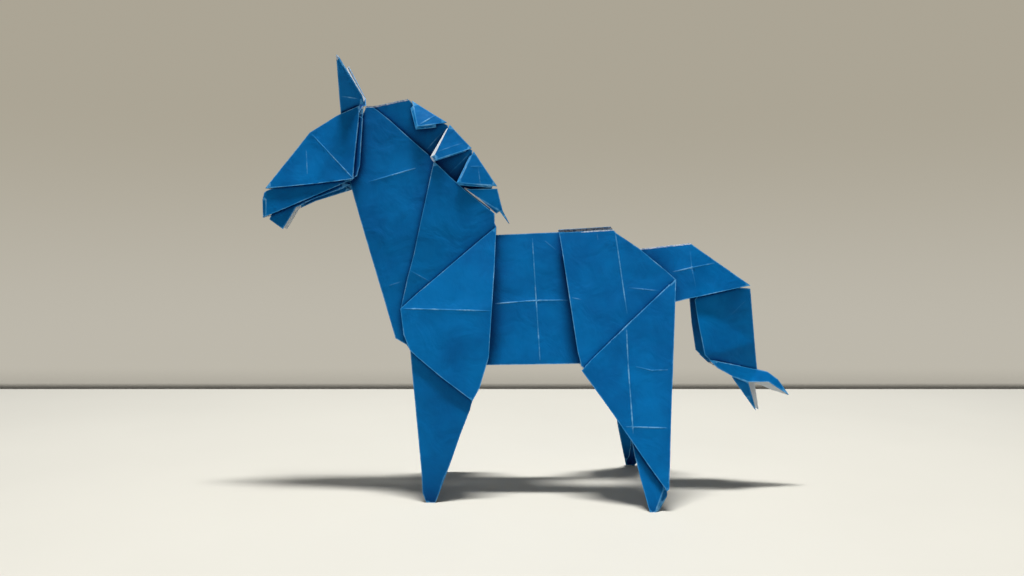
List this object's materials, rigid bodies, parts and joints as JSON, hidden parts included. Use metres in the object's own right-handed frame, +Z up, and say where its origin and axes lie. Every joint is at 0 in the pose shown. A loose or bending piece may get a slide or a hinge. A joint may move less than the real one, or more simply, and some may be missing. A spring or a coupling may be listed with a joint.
{
  "type": "origami horse",
  "caption": "Standing horse folded from one square sheet of blue paper, with pleated mane, pointed ears and a split tail tip.",
  "frame": {"origin": "on the surface it stands on, under the centre of its bounding box", "axes": "+X from the head to the tail, +Y across the horse towards its right side, +Z up"},
  "size_m": [0.1162, 0.0344, 0.0938],
  "materials": {
    "blue_paper": "coated paper, slight sheen, white reverse side"
  },
  "bodies": {
    "root": {"folded_sheet": "blue_paper"}
  },
  "joints": []
}
